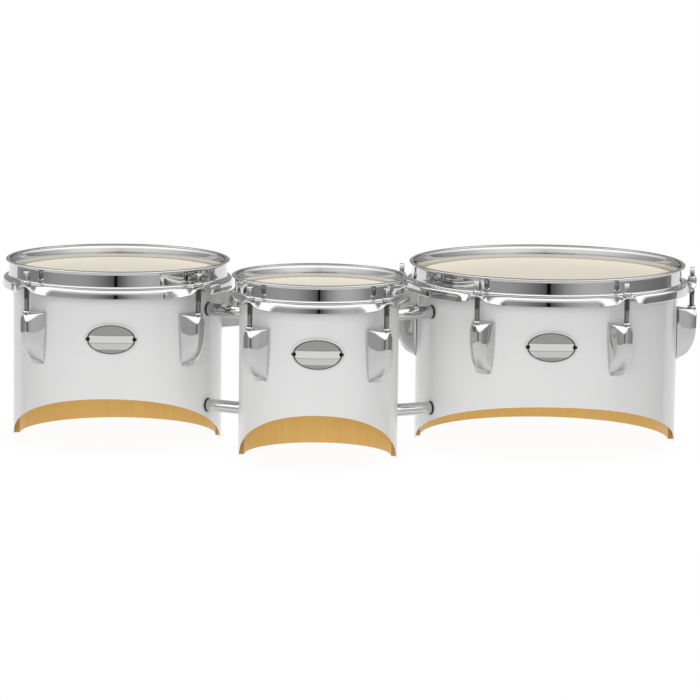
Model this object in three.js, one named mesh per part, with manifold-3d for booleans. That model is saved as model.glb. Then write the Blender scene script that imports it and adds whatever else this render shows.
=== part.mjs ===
import * as THREE from 'three';
import { mergeVertices } from 'three/addons/utils/BufferGeometryUtils.js';
import Module from 'manifold-3d';

const wasm = await Module();
wasm.setup();

// A trio of marching tenor drums on one pair of tubes per side.
// Millimetres, Z up, floor at z = 0, badges facing -Y, player behind at +Y.
// Angles round a drum are measured from its front, positive towards +X.

// Driving dimensions of the set
const rimHeight = 171.8;
const middleRadius = 74.6;
const leftRadius = 100;
const rightRadius = 125.4;
const shellSpacing = 46;
const layoutAngle = THREE.MathUtils.degToRad(28);
const seatGap = 0.3;
const cutOverrun = 3;
const weldDistance = 0.0001;
const facetsPerRod = 8;

// Shell
const shellWall = 5.5;
const bearingEdgeWidth = 1.2;
const bearingBevel = 3;
const archRise = 50;
const archTipFlat = 1;
const archFullnessShare = 0.6;
const archSteps = 8;

// Drumhead
const headDrop = 12.5;
const filmThickness = 0.4;
const collarOffset = 0.4;
const collarDrop = 1.1;
const fleshHoopInner = 1.4;
const fleshHoopOuter = 6.4;
const fleshHoopDepth = 23.5;

// Triple flanged hoop: its centre line, as offsets outside the shell and depths below the rim
const hoopSheet = 1.8;
const lipReach = 6.6;
const lipEndDrop = 1.6;
const crestReach = 4.9;
const wallReach = 3.5;
const lipDepth = 2.6;
const ledgeDepth = 17.7;
const skirtReach = 9.5;
const skirtLength = 9.3;
const skirtBend = 1.6;
const earHalfWidth = 4;
const earSide = 3.5;
const flareSwingShare = 0.45;
const flareReach = 24;
const plainStepAngle = THREE.MathUtils.degToRad(12);

// Tension rod
const rodOffset = 14.2;
const rodDiameter = 5;
const rodClearance = 0.6;
const rodEndDepth = 60;
const washerDiameter = 9.2;
const washerThickness = 1.2;
const collarDiameter = 8.2;
const collarHeight = 2.6;
const rodHeadWidth = 4.8;
const rodHeadDepth = 4;
const rodFacets = 8;

// Lug
const lugTopDepth = 42.7;
const lugHeight = 50.5;
const lugTopSlope = 2;
const lugDepth = 19.3;
const lugBackWidth = 23.6;
const lugFrontWidth = 8.6;
const lugEdge = 2.2;
const lugBulge = 0.9;
const lugLevelShares = [0, 0.4, 0.68, 0.85, 0.96, 1];
const lugDepthPower = 4;
const lugDepthRound = 0.61;
const lugTaperShare = 0.3;
const lugTaperPower = 2.2;
const lugEndShare = 0.84;
const lugTipShare = 0.5;
const lugLeastDepthShare = 0.1;
const lugBulgeSideShare = 0.72;
const lugFrontEndShare = 0.3;
const nutDiameter = 8.6;
const nutRise = 3.6;
const nutFacets = 6;
const lugScrewDepths = [55, 80];
const lugScrewDiameter = 4.8;
const lugScrewHeadWidth = 8;
const lugScrewHeadHeight = 3;
const screwFacets = 6;
const screwClearance = 0.6;

// Badge
const badgeWidth = 49.5;
const badgeHeight = 30;
const badgeThickness = 0.8;
const badgeBead = 2;
const badgeBeadRise = 0.5;
const badgeDepth = 65;
const badgeFacets = 10;

// Joining tubes and their saddle gaskets
const tubeDiameter = 12;
const upperTubeDepth = 42.4;
const lowerTubeHeight = 37.3;
const gasketDiameter = 13.2;
const gasketThickness = 1.5;
const tubeBoltDiameter = 6;
const tubeBoltHeadWidth = 10;
const tubeBoltHeadHeight = 4;
const boltWasherDiameter = 15;
const boltWasherThickness = 1.2;
const tubeFacets = 12;
const boltFacets = 6;

// Carrier bracket: one bent steel bar behind the middle drum
const bracketTopDepth = 39.8;
const bracketHeight = 36;
const bracketSheet = 3;
const bracketSetback = 20.23191;
const bracketArmAngle = THREE.MathUtils.degToRad(33);
const flangeLength = 30;
const flangeSteps = 4;
const bracketSlotWidth = 8.5;
const bracketSlotHeight = 20;
const bracketSlotSpacing = 70;
const bracketBoltSpacing = 20;
const bracketNutWidth = 9;
const bracketNutHeight = 4;

const drums = [
  { name: 'left', radius: leftRadius, rods: 4, side: -1 },
  { name: 'middle', radius: middleRadius, rods: 4, side: 0 },
  { name: 'right', radius: rightRadius, rods: 6, side: 1 },
];
const [leftDrum, middleDrum, rightDrum] = drums;
const sideDrums = [leftDrum, rightDrum];
const tubeHeights = { upper: rimHeight - upperTubeDepth, lower: lowerTubeHeight };

const materials = {
  shell: { color: 0xe4e6e4, roughness: 0.18, metalness: 0 },
  drumhead: { color: 0xddd4be, roughness: 0.5, metalness: 0 },
  chrome: { color: 0xc9cac8, roughness: 0.08, metalness: 1 },
  rod: { color: 0x9c9c98, roughness: 0.2, metalness: 1 },
  badge: { color: 0xb9bab6, roughness: 0.35, metalness: 1 },
  gasket: { color: 0x1c1c1c, roughness: 0.8, metalness: 0 },
  bracket: { color: 0xb0b2ac, roughness: 0.45, metalness: 0.8 },
};

// Solids

function signedVolume(points, triangles) {
  const [a, b, c] = [new THREE.Vector3(), new THREE.Vector3(), new THREE.Vector3()];
  let sum = 0;
  for (let i = 0; i < triangles.length; i += 3) {
    a.fromArray(points, triangles[i] * 3);
    b.fromArray(points, triangles[i + 1] * 3);
    c.fromArray(points, triangles[i + 2] * 3);
    sum += a.dot(b.cross(c));
  }
  return sum;
}

// A closed geometry as a solid: welded, without collapsed triangles, faces outward.
function solidFrom(geometry) {
  const bare = geometry.clone();
  bare.deleteAttribute('normal');
  bare.deleteAttribute('uv');
  const welded = mergeVertices(bare, weldDistance);
  const points = welded.attributes.position.array;
  const index = welded.index.array;
  const triangles = [];
  for (let i = 0; i < index.length; i += 3) {
    const [a, b, c] = index.slice(i, i + 3);
    if (a !== b && b !== c && c !== a) triangles.push(a, b, c);
  }
  if (signedVolume(points, triangles) < 0) triangles.reverse();
  const triVerts = new Uint32Array(triangles);
  return new wasm.Manifold(new wasm.Mesh({ numProp: 3, vertProperties: points, triVerts }));
}

function namedMesh(name, solid, look) {
  const result = solid.getMesh();
  const geometry = new THREE.BufferGeometry();
  geometry.setAttribute('position', new THREE.BufferAttribute(result.vertProperties, 3));
  geometry.setIndex(new THREE.BufferAttribute(result.triVerts, 1));
  geometry.computeVertexNormals();
  const mesh = new THREE.Mesh(geometry, new THREE.MeshStandardMaterial(look));
  mesh.name = name;
  return mesh;
}

function revolve(profile, facets) {
  const points = profile.map(([radius, height]) => new THREE.Vector2(radius, height));
  return new THREE.LatheGeometry(points, facets).rotateX(Math.PI / 2);
}

// A post standing on the local axis, from one height to another.
function post(radius, low, high, facets) {
  const geometry = new THREE.CylinderGeometry(radius, radius, high - low, facets);
  return geometry.rotateX(Math.PI / 2).translate(0, 0, (high + low) / 2);
}

// A round pin lying across the front wall, from one distance off the drum's axis to another.
function radialPin(radius, inner, outer, height, facets) {
  const geometry = new THREE.CylinderGeometry(radius, radius, outer - inner, facets);
  return geometry.translate(0, -(inner + outer) / 2, height);
}

// Skin over equal rings of points: joined end to start when looped, capped otherwise.
function loft(rings, looped) {
  const count = rings[0].length;
  const positions = rings.flat().flatMap((point) => point.toArray());
  const index = [];
  const spans = looped ? rings.length : rings.length - 1;
  for (let i = 0; i < spans; i += 1) {
    const here = i * count;
    const next = ((i + 1) % rings.length) * count;
    for (let j = 0; j < count; j += 1) {
      const k = (j + 1) % count;
      index.push(here + j, next + j, next + k, here + j, next + k, here + k);
    }
  }
  if (!looped) {
    for (const [start, turned] of [[0, false], [(rings.length - 1) * count, true]]) {
      for (let j = 1; j < count - 1; j += 1) {
        index.push(start, start + (turned ? j + 1 : j), start + (turned ? j : j + 1));
      }
    }
  }
  const geometry = new THREE.BufferGeometry();
  geometry.setAttribute('position', new THREE.Float32BufferAttribute(positions, 3));
  geometry.setIndex(index);
  return geometry;
}

// Both faces of a sheet that follows a centre line, as one closed outline.
function sheetOutline(line, thickness) {
  const normals = line.slice(1).map((point, i) => {
    const along = point.clone().sub(line[i]).normalize();
    return new THREE.Vector2(-along.y, along.x);
  });
  const face = (half) => line.map((point, i) => {
    const before = normals[Math.max(i - 1, 0)];
    const after = normals[Math.min(i, normals.length - 1)];
    const mitre = before.clone().add(after).normalize();
    return point.clone().addScaledVector(mitre, half / mitre.dot(after));
  });
  return [...face(thickness / 2), ...face(-thickness / 2).reverse()];
}

// Layout

function rodAngles(drum) {
  const step = (2 * Math.PI) / drum.rods;
  return Array.from({ length: drum.rods }, (_, i) => (i + 0.5) * step - Math.PI);
}

function shellFacets(drum) {
  return drum.rods * facetsPerRod;
}

function drumCentre(drum) {
  if (drum.side === 0) return new THREE.Vector3();
  const reach = middleRadius + shellSpacing + drum.radius;
  const across = drum.side * reach * Math.cos(layoutAngle);
  return new THREE.Vector3(across, reach * Math.sin(layoutAngle), 0);
}

// Where the tubes meet a drum: on the lines between the drum centres.
function tubeAngles(drum) {
  const quarter = Math.PI / 2;
  if (drum.side === 0) return [-quarter - layoutAngle, quarter + layoutAngle];
  return [-drum.side * (quarter - layoutAngle)];
}

function bracketAngle(drum) {
  const armRoot = Math.PI / 2 + bracketArmAngle;
  const halfFlange = flangeLength / (2 * (drum.radius + seatGap));
  return -drum.side * (armRoot - halfFlange);
}

// Distance of a flat seat inside the shell, for a washer of the given radius.
function insideSeat(drum, washerRadius) {
  const inner = (drum.radius - shellWall) * Math.cos(Math.PI / shellFacets(drum));
  return Math.sqrt(inner ** 2 - washerRadius ** 2) - seatGap;
}

// The bar hangs clear of the hoops, so its height goes with the rim.
const bracketMiddle = rimHeight - bracketTopDepth - bracketHeight / 2;
const bracketBoltHeights = [-1, 1].map((end) => bracketMiddle + (end * bracketBoltSpacing) / 2);

// Shell

function archCutter(drum) {
  const half = drum.radius - archTipFlat;
  const shape = new THREE.Shape();
  shape.moveTo(-half, -cutOverrun);
  shape.lineTo(-half, 0);
  shape.bezierCurveTo(-half, archRise * archFullnessShare, -half * archFullnessShare, archRise, 0, archRise);
  shape.bezierCurveTo(half * archFullnessShare, archRise, half, archRise * archFullnessShare, half, 0);
  shape.lineTo(half, -cutOverrun);
  const settings = { depth: drum.radius + cutOverrun, bevelEnabled: false, curveSegments: archSteps };
  return solidFrom(new THREE.ExtrudeGeometry(shape, settings).rotateX(Math.PI / 2));
}

function wallHole(drum, angle, height, diameter) {
  const inner = drum.radius - shellWall - cutOverrun;
  const pin = radialPin(diameter / 2, inner, drum.radius + cutOverrun, height, boltFacets);
  return solidFrom(pin.rotateZ(angle));
}

function shellHoles(drum) {
  const lugHoles = rodAngles(drum).flatMap((angle) => lugScrewDepths.map(
    (depth) => wallHole(drum, angle, rimHeight - depth, lugScrewDiameter + screwClearance),
  ));
  const tubeHoles = tubeAngles(drum).flatMap((angle) => Object.values(tubeHeights).map(
    (height) => wallHole(drum, angle, height, tubeBoltDiameter + screwClearance),
  ));
  const bracketHoles = drum.side === 0 ? [] : bracketBoltHeights.map(
    (height) => wallHole(drum, bracketAngle(drum), height, lugScrewDiameter + screwClearance),
  );
  return [...lugHoles, ...tubeHoles, ...bracketHoles];
}

// A plywood tube with a bevelled bearing edge on top and an arch cut through its front.
function shellSolid(drum) {
  const inner = drum.radius - shellWall;
  const top = rimHeight - headDrop - filmThickness - seatGap;
  const profile = [
    [inner, 0],
    [drum.radius, 0],
    [drum.radius, top - bearingEdgeWidth],
    [drum.radius - bearingEdgeWidth, top],
    [drum.radius - 2 * bearingEdgeWidth, top],
    [inner, top - bearingBevel],
    [inner, 0],
  ];
  const wall = solidFrom(revolve(profile, shellFacets(drum)));
  return [archCutter(drum), ...shellHoles(drum)].reduce((left, cut) => left.subtract(cut), wall);
}

// Drumhead

// The film lies on the bearing edge and turns down outside the shell into its flesh hoop.
function drumheadSolid(drum) {
  const top = rimHeight - headDrop;
  const under = top - filmThickness;
  const edge = drum.radius - bearingEdgeWidth;
  const ringTop = rimHeight - (ledgeDepth + hoopSheet / 2) - seatGap;
  const profile = [
    [0, under],
    [edge, under],
    [drum.radius + collarOffset, under - collarDrop],
    [drum.radius + fleshHoopInner, rimHeight - fleshHoopDepth],
    [drum.radius + fleshHoopOuter, rimHeight - fleshHoopDepth],
    [drum.radius + fleshHoopOuter, ringTop],
    [drum.radius + wallReach - hoopSheet, ringTop],
    [edge, top],
    [0, top],
  ];
  return solidFrom(revolve(profile, shellFacets(drum)));
}

// Triple flanged hoop

// How far the skirt is swung up at arc distances from a rod's centre: level at the ear,
// part of the way on the flare beside it, hanging upright beyond that.
const earSwings = [
  { distance: earHalfWidth, swing: 1 },
  { distance: earHalfWidth + earSide, swing: flareSwingShare },
  { distance: flareReach, swing: 0 },
];

// The pressed sheet at one station: rolled lip, upright wall, level ledge and skirt.
// The skirt turns on the ledge's outer corner: level at an ear, slanted on the flare.
function hoopSection(swing) {
  const turn = (1 - swing) * (Math.PI / 2);
  const onSkirt = (length) => new THREE.Vector2(
    skirtReach + length * Math.cos(turn),
    -ledgeDepth - length * Math.sin(turn),
  );
  const line = [
    new THREE.Vector2(lipReach, -lipEndDrop),
    new THREE.Vector2(crestReach, -hoopSheet / 2),
    new THREE.Vector2(wallReach, -lipDepth),
    new THREE.Vector2(wallReach, -ledgeDepth),
    new THREE.Vector2(skirtReach - skirtBend, -ledgeDepth),
    onSkirt(skirtBend),
    onSkirt(skirtLength),
  ];
  return sheetOutline(line, hoopSheet);
}

// Stations round one rod: the flat ear, the flares beside it, then even steps to the next ear,
// with one of them midway, so that the hoop is full width there.
function hoopStations(drum) {
  const circle = drum.radius + rodOffset;
  const after = earSwings.map(({ distance, swing }) => ({ offset: distance / circle, swing }));
  const before = after.map(({ offset, swing }) => ({ offset: -offset, swing })).reverse();
  const earEdge = flareReach / circle;
  const free = (2 * Math.PI) / drum.rods - 2 * earEdge;
  const parts = 2 * Math.max(Math.round(free / plainStepAngle / 2), 1);
  const between = Array.from(
    { length: parts - 1 },
    (_, i) => ({ offset: earEdge + (free * (i + 1)) / parts, swing: 0 }),
  );
  return rodAngles(drum).flatMap((rod) => [...before, ...after, ...between].map(
    ({ offset, swing }) => ({ angle: rod + offset, swing }),
  ));
}

function hoopSolid(drum) {
  const rings = hoopStations(drum).map(({ angle, swing }) => hoopSection(swing).map((point) => {
    const radius = drum.radius + point.x;
    return new THREE.Vector3(radius * Math.sin(angle), -radius * Math.cos(angle), rimHeight + point.y);
  }));
  const hole = (rodDiameter + rodClearance) / 2;
  const low = rimHeight - ledgeDepth - hoopSheet - cutOverrun;
  const high = rimHeight - ledgeDepth + hoopSheet + cutOverrun;
  return rodAngles(drum).reduce((hoop, angle) => {
    const cutter = post(hole, low, high, rodFacets).translate(0, -(drum.radius + rodOffset), 0);
    return hoop.subtract(solidFrom(cutter.rotateZ(angle)));
  }, solidFrom(loft(rings, true)));
}

// Tension rod, on its own axis

function rodSolid() {
  const seat = rimHeight - ledgeDepth + hoopSheet / 2 + seatGap;
  const washerTop = seat + washerThickness;
  const collarTop = washerTop + collarHeight;
  const end = rimHeight - rodEndDepth;
  const shank = rodDiameter / 2;
  const profile = [
    [0, end],
    [shank, end],
    [shank, seat],
    [washerDiameter / 2, seat],
    [washerDiameter / 2, washerTop],
    [collarDiameter / 2, washerTop],
    [collarDiameter / 2, collarTop],
    [0, collarTop],
  ];
  const headTop = rimHeight - rodHeadDepth;
  const headHeight = headTop - washerTop;
  const head = new THREE.BoxGeometry(rodHeadWidth, rodHeadWidth, headHeight);
  head.translate(0, 0, headTop - headHeight / 2);
  return solidFrom(revolve(profile, rodFacets)).add(solidFrom(head));
}

// Lug, standing on the front of the shell

// Plan outline of the lug at one level: curved back, upright edges, slanted sides, flat front.
function lugOutline(drum, share) {
  const deep = Math.max((1 - share ** lugDepthPower) ** lugDepthRound, lugLeastDepthShare);
  const pastEnd = Math.max(share - lugEndShare, 0) / (1 - lugEndShare);
  const round = 1 - (1 - lugTipShare) * pastEnd ** 2;
  const half = (lugBackWidth / 2) * (1 - lugTaperShare * share ** lugTaperPower) * round;
  const frontHalf = (lugFrontWidth / 2) * (1 - (1 - lugFrontEndShare) * share ** lugDepthPower);
  const depth = lugDepth * deep;
  const edge = lugEdge * deep;
  const middle = THREE.MathUtils.lerp(half, frontHalf, lugBulgeSideShare);
  const middleDepth = THREE.MathUtils.lerp(edge, depth, lugBulgeSideShare);
  const bulge = lugBulge * (1 + share);
  const side = [
    [half, 0],
    [half, edge],
    [middle + bulge * deep, middleDepth],
    [frontHalf, depth],
  ];
  const otherSide = side.map(([across, out]) => [-across, out]).reverse();
  const high = rimHeight - lugTopDepth - share * lugHeight;
  const topLean = share === 0 ? lugTopSlope / lugDepth : 0;
  return [...side, ...otherSide, [0, 0]].map(([across, out]) => {
    const backFace = Math.sqrt((drum.radius + seatGap) ** 2 - across ** 2);
    const outward = out === 0 ? backFace : drum.radius + out;
    return new THREE.Vector3(across, -outward, high - out * topLean);
  });
}

// The threaded nut that stands out of the lug's top, and the bore the rod turns in.
function addNut(lug, drum) {
  const top = rimHeight - lugTopDepth + nutRise - lugTopSlope;
  const bottom = top - nutRise - lugTopSlope;
  const nut = post(nutDiameter / 2, bottom, top, nutFacets).translate(0, -(drum.radius + rodOffset), 0);
  const boreRadius = (rodDiameter + rodClearance) / 2 / Math.cos(Math.PI / nutFacets);
  const boreBottom = rimHeight - rodEndDepth - cutOverrun;
  const bore = post(boreRadius, boreBottom, top + cutOverrun, nutFacets);
  bore.translate(0, -(drum.radius + rodOffset), 0);
  return lug.add(solidFrom(nut)).subtract(solidFrom(bore));
}

function lugScrew(drum, height) {
  const seat = insideSeat(drum, lugScrewHeadWidth / 2);
  const end = seat - lugScrewHeadHeight;
  const shank = radialPin(lugScrewDiameter / 2, end, drum.radius + lugEdge, height, screwFacets);
  const head = radialPin(lugScrewHeadWidth / 2, end, seat, height, screwFacets);
  return solidFrom(shank).add(solidFrom(head));
}

function lugSolid(drum) {
  const body = solidFrom(loft(lugLevelShares.map((share) => lugOutline(drum, share)), false));
  const withNut = addNut(body, drum);
  return lugScrewDepths.reduce((lug, depth) => lug.add(lugScrew(drum, rimHeight - depth)), withNut);
}

// Badge: an oval plate with a raised bead, bent to the front of the shell

function ovalPrism(width, height, reach) {
  const shape = new THREE.Shape();
  shape.absellipse(0, 0, width / 2, height / 2, 0, 2 * Math.PI);
  const settings = { depth: reach, bevelEnabled: false, curveSegments: badgeFacets };
  const prism = new THREE.ExtrudeGeometry(shape, settings).rotateX(Math.PI / 2);
  return solidFrom(prism.translate(0, 0, rimHeight - badgeDepth));
}

function curvedSheet(drum, thickness) {
  const inner = drum.radius + seatGap;
  const low = rimHeight - badgeDepth - badgeHeight;
  const high = rimHeight - badgeDepth + badgeHeight;
  const outer = inner + thickness;
  const profile = [[inner, low], [outer, low], [outer, high], [inner, high], [inner, low]];
  return solidFrom(revolve(profile, shellFacets(drum)));
}

function badgeSolid(drum) {
  const reach = drum.radius + cutOverrun;
  const oval = ovalPrism(badgeWidth, badgeHeight, reach);
  const field = ovalPrism(badgeWidth - 2 * badgeBead, badgeHeight - 2 * badgeBead, reach);
  const plate = curvedSheet(drum, badgeThickness).intersect(oval);
  const bead = curvedSheet(drum, badgeThickness + badgeBeadRise).intersect(oval.subtract(field));
  return plate.add(bead);
}

// Joining tubes, lying along the line from the middle drum to a side drum

function tubeSpan() {
  const start = middleRadius + gasketThickness + seatGap;
  return { start, end: start + shellSpacing - 2 * (gasketThickness + seatGap) };
}

function boltInShell(drum, facing, centre) {
  const seat = insideSeat(drum, boltWasherDiameter / 2);
  const washer = seat - boltWasherThickness;
  const headEnd = washer - tubeBoltHeadHeight;
  const root = drum.radius + gasketThickness + tubeBoltDiameter;
  const pieces = [
    radialPin(tubeBoltDiameter / 2, headEnd, root, 0, boltFacets),
    radialPin(boltWasherDiameter / 2, washer, seat, 0, boltFacets),
    radialPin(tubeBoltHeadWidth / 2, headEnd, washer, 0, screwFacets),
  ];
  return pieces.map((piece) => solidFrom(piece.rotateZ(facing).translate(0, -centre, 0)));
}

// Drawn on the -Y axis of the middle drum, then turned to the side drum.
function tubeSolid(drum) {
  const { start, end } = tubeSpan();
  const tube = solidFrom(radialPin(tubeDiameter / 2, start, end, 0, tubeFacets));
  const farCentre = middleRadius + shellSpacing + drum.radius;
  const bolts = [...boltInShell(middleDrum, 0, 0), ...boltInShell(drum, Math.PI, farCentre)];
  return bolts.reduce((whole, bolt) => whole.add(bolt), tube);
}

// A rubber ring between a tube's end and the shell, hollowed to the shell's curve.
function gasketSolid(drum) {
  const outer = drum.radius + gasketThickness;
  const ring = solidFrom(radialPin(gasketDiameter / 2, drum.radius - shellWall, outer, 0, tubeFacets));
  const seat = (drum.radius + seatGap) / Math.cos(Math.PI / shellFacets(drum));
  const shellCurve = post(seat, -gasketDiameter, gasketDiameter, shellFacets(drum));
  const hole = radialPin((tubeBoltDiameter + screwClearance) / 2, 0, outer + cutOverrun, 0, boltFacets);
  return ring.subtract(solidFrom(shellCurve)).subtract(solidFrom(hole));
}

// Carrier bracket

function pointAround(centre, radius, angle) {
  return new THREE.Vector2(centre.x + radius * Math.sin(angle), centre.y - radius * Math.cos(angle));
}

// The flange wrapped on the shell, from its free end to the root where the arm leaves it.
function bracketFlange(drum) {
  const radius = drum.radius + seatGap + bracketSheet / 2;
  const armRoot = -drum.side * (Math.PI / 2 + bracketArmAngle);
  const sweep = drum.side * (flangeLength / radius);
  return Array.from({ length: flangeSteps + 1 }, (_, i) => {
    const share = 1 - i / flangeSteps;
    return pointAround(drumCentre(drum), radius, armRoot + sweep * share);
  });
}

// The bar's rear flat lies behind the root that reaches furthest back, so both arms run clear.
const bracketRearward = bracketSetback + Math.max(
  ...sideDrums.map((drum) => bracketFlange(drum)[flangeSteps].y),
);

// One end of the bar: the flange, then the arm going back to the rear flat.
function bracketEnd(drum) {
  const flange = bracketFlange(drum);
  const root = flange[flangeSteps];
  const across = (bracketRearward - root.y) / Math.tan(bracketArmAngle);
  return [...flange, new THREE.Vector2(root.x - drum.side * across, bracketRearward)];
}

function bracketBolt(drum, height) {
  const seat = insideSeat(drum, lugScrewHeadWidth / 2);
  const flangeFace = drum.radius + seatGap + bracketSheet;
  const nutEnd = flangeFace + bracketNutHeight;
  const centre = drumCentre(drum);
  const end = seat - lugScrewHeadHeight;
  const pieces = [
    radialPin(lugScrewDiameter / 2, end, nutEnd, height, screwFacets),
    radialPin(lugScrewHeadWidth / 2, end, seat, height, screwFacets),
    radialPin(bracketNutWidth / 2, flangeFace - bracketSheet / 2, nutEnd, height, screwFacets),
  ];
  const facing = bracketAngle(drum);
  return pieces.map((piece) => solidFrom(piece.rotateZ(facing).translate(centre.x, centre.y, 0)));
}

// An upright slot with round ends, cut through the bar's rear flat.
function bracketSlot(across) {
  const radius = bracketSlotWidth / 2;
  const straight = bracketSlotHeight / 2 - radius;
  const shape = new THREE.Shape();
  shape.absarc(0, straight, radius, 0, Math.PI);
  shape.absarc(0, -straight, radius, Math.PI, 2 * Math.PI);
  const reach = bracketSheet + 2 * cutOverrun;
  const settings = { depth: reach, bevelEnabled: false, curveSegments: boltFacets };
  const cutter = new THREE.ExtrudeGeometry(shape, settings).rotateX(Math.PI / 2);
  return solidFrom(cutter.translate(across, bracketRearward + reach / 2, bracketMiddle));
}

function bracketSolid() {
  const leftEnd = bracketEnd(leftDrum);
  const rightEnd = bracketEnd(rightDrum);
  const outline = sheetOutline([...leftEnd, ...rightEnd.slice().reverse()], bracketSheet);
  const settings = { depth: bracketHeight, bevelEnabled: false };
  const bar = new THREE.ExtrudeGeometry(new THREE.Shape(outline), settings);
  bar.translate(0, 0, bracketMiddle - bracketHeight / 2);
  const middle = (leftEnd.at(-1).x + rightEnd.at(-1).x) / 2;
  const slots = [-1, 1].map((side) => bracketSlot(middle + (side * bracketSlotSpacing) / 2));
  const slotted = slots.reduce((whole, slot) => whole.subtract(slot), solidFrom(bar));
  const bolts = sideDrums.flatMap(
    (drum) => bracketBoltHeights.flatMap((height) => bracketBolt(drum, height)),
  );
  return bolts.reduce((whole, bolt) => whole.add(bolt), slotted);
}

// Assembly

function drumGroup(drum) {
  const group = new THREE.Group();
  group.position.copy(drumCentre(drum));
  group.add(namedMesh(`${drum.name}_shell`, shellSolid(drum), materials.shell));
  group.add(namedMesh(`${drum.name}_drumhead`, drumheadSolid(drum), materials.drumhead));
  group.add(namedMesh(`${drum.name}_hoop`, hoopSolid(drum), materials.chrome));
  group.add(namedMesh(`${drum.name}_badge`, badgeSolid(drum), materials.badge));
  const lug = lugSolid(drum);
  const rod = rodSolid();
  rodAngles(drum).forEach((angle, i) => {
    const station = new THREE.Group();
    station.rotation.z = angle;
    station.add(namedMesh(`${drum.name}_lug_${i + 1}`, lug, materials.chrome));
    const rodMesh = namedMesh(`${drum.name}_tension_rod_${i + 1}`, rod, materials.rod);
    rodMesh.position.set(0, -(drum.radius + rodOffset), 0);
    station.add(rodMesh);
    group.add(station);
  });
  return group;
}

function tubeGroup(drum) {
  const farCentre = middleRadius + shellSpacing + drum.radius;
  const group = new THREE.Group();
  group.rotation.z = drum.side * (Math.PI / 2 + layoutAngle);
  for (const [level, height] of Object.entries(tubeHeights)) {
    const name = `${drum.name}_${level}_tube`;
    const line = new THREE.Group();
    line.position.z = height;
    line.add(namedMesh(name, tubeSolid(drum), materials.chrome));
    line.add(namedMesh(`${name}_inner_gasket`, gasketSolid(middleDrum), materials.gasket));
    const outerGasket = namedMesh(`${name}_outer_gasket`, gasketSolid(drum), materials.gasket);
    outerGasket.rotation.z = Math.PI;
    outerGasket.position.y = -farCentre;
    line.add(outerGasket);
    group.add(line);
  }
  return group;
}

const tenorDrums = new THREE.Group();
drums.forEach((drum) => tenorDrums.add(drumGroup(drum)));
sideDrums.forEach((drum) => tenorDrums.add(tubeGroup(drum)));
tenorDrums.add(namedMesh('carrier_bracket', bracketSolid(), materials.bracket));

// The origin is the middle of the set's footprint, on the floor.
const bounds = new THREE.Box3().setFromObject(tenorDrums);
const footprint = bounds.getCenter(new THREE.Vector3());
tenorDrums.position.set(-footprint.x, -footprint.y, -bounds.min.z);

export default tenorDrums;
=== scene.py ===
import math

import bmesh
import bpy
import numpy as np
from mathutils import Matrix, Vector


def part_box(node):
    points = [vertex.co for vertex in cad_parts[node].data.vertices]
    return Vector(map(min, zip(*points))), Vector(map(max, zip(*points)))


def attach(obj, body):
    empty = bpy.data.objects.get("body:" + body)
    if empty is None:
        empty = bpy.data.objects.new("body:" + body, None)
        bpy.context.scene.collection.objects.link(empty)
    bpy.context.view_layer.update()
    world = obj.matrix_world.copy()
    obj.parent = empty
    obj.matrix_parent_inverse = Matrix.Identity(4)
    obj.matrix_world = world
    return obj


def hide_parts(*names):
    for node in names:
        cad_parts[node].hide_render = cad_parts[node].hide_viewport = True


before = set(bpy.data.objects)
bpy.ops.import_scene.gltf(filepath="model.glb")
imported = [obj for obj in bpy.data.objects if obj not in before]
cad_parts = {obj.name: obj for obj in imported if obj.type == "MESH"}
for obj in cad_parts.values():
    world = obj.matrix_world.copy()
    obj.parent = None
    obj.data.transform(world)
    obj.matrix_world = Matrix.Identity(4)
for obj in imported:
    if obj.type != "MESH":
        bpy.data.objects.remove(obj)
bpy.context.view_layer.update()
scene = bpy.context.scene
mm = 0.001  # shapes are worked out in millimetres and stored in metres
quarter = math.pi / 2


# meshes from grids of points

def allRound(steps):
    # equal steps of angle round one full turn
    return np.arange(steps) * 2 * math.pi / steps


def cells(rows, columns):
    # the row and the column of every cell of a grid
    return (a.ravel() for a in np.meshgrid(np.arange(rows), np.arange(columns), indexing="ij"))


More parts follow.
